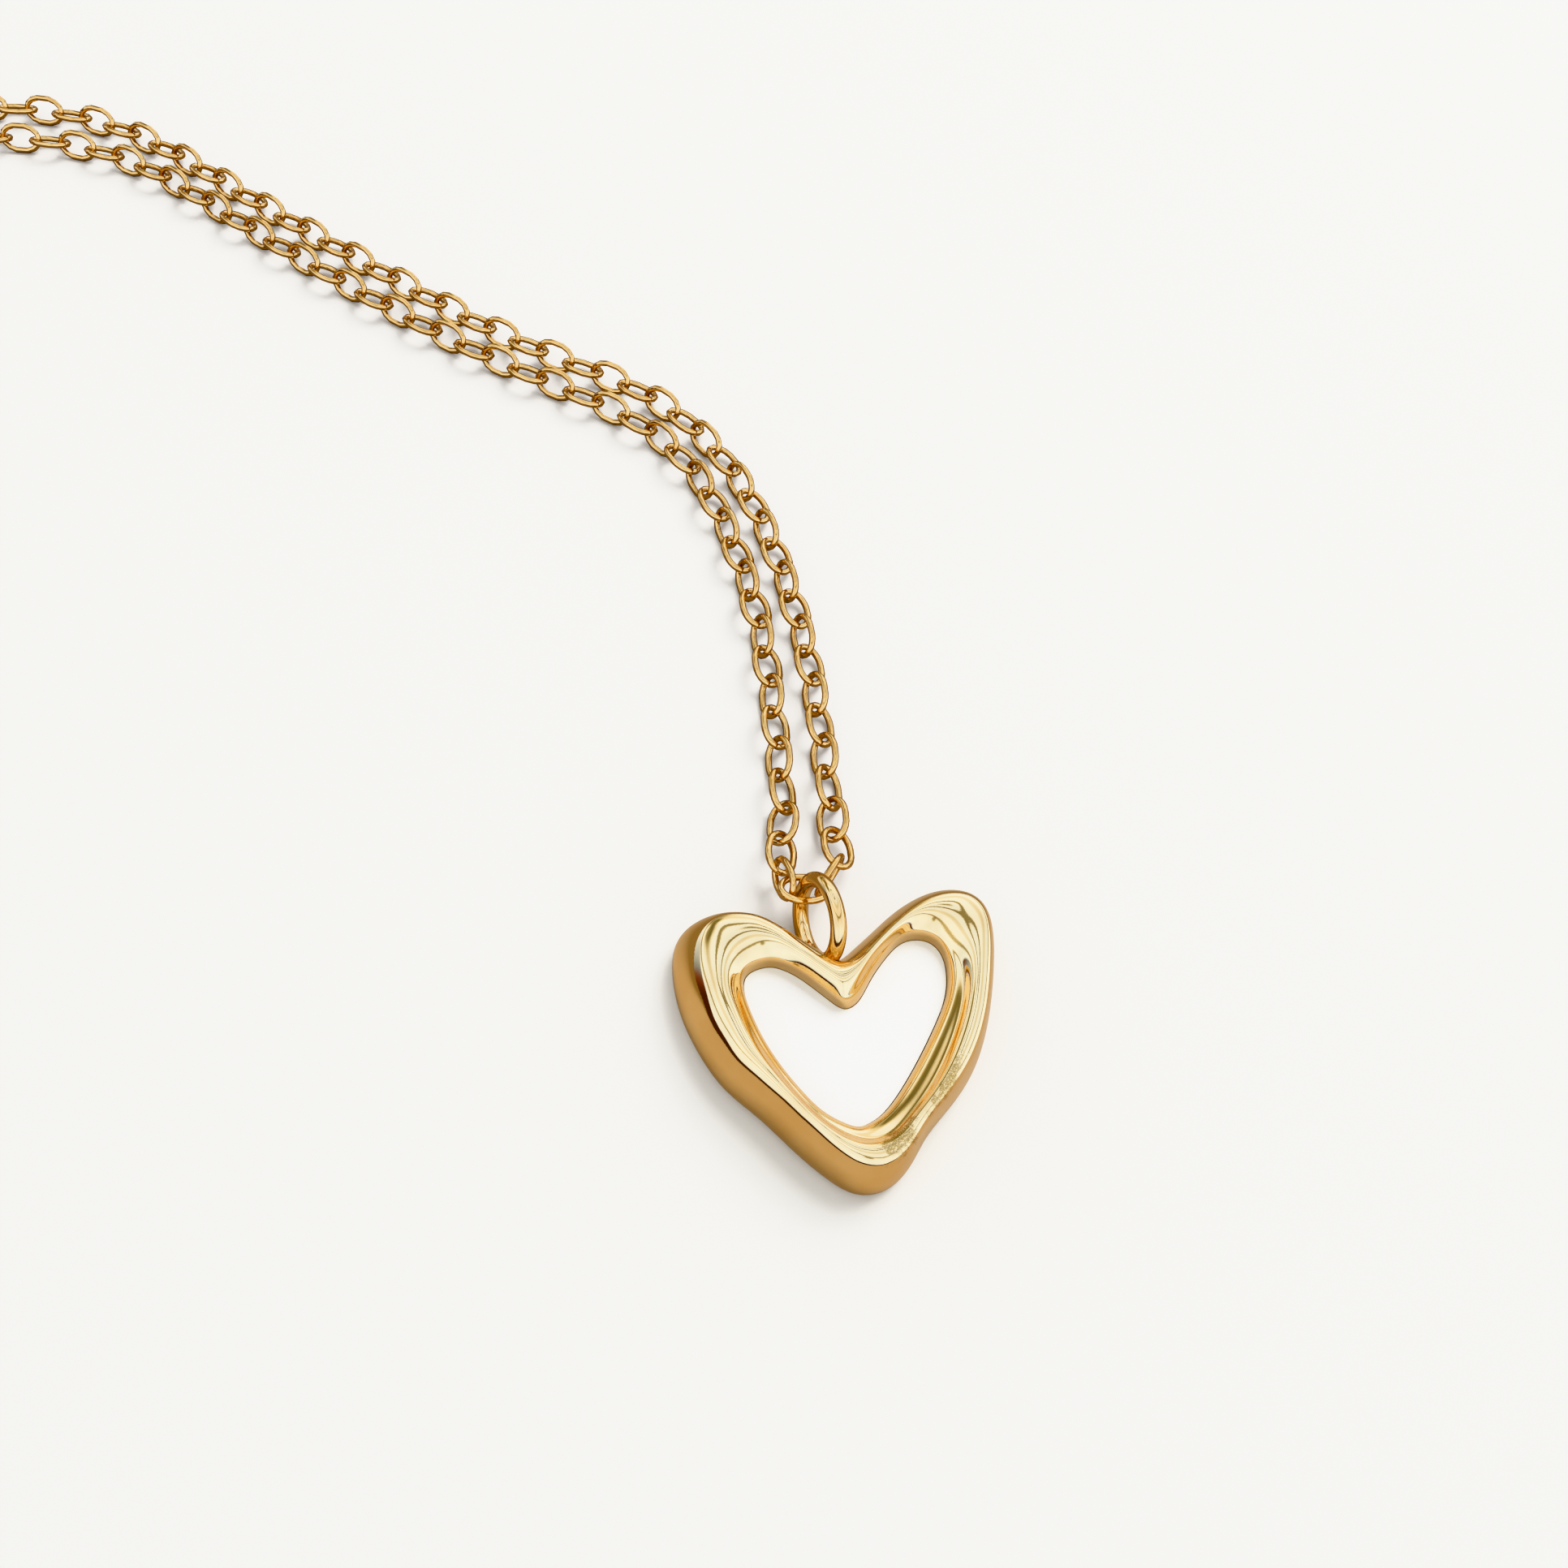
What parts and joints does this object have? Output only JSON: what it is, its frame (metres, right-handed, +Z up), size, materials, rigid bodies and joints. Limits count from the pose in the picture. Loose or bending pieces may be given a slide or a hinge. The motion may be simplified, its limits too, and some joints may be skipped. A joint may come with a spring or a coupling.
{
  "type": "heart pendant necklace",
  "caption": "Puffy gold-coloured heart pendant with a white inlay and a soldered jump ring, lying with its fine cable chain laid out as a closed loop.",
  "frame": {"origin": "middle of the pendant's flat back, on the surface that the necklace lies on", "axes": "+Z up out of the pendant's front, +Y from the pendant's tip towards its jump ring"},
  "size_m": [0.1439, 0.1138, 0.0048],
  "materials": {
    "gold": "polished",
    "white_inlay": "smooth"
  },
  "bodies": {
    "root": {"heart_frame": "gold", "inlay": "white_inlay", "chain_left": "gold", "chain_right": "gold", "clasp": "gold"}
  },
  "joints": []
}
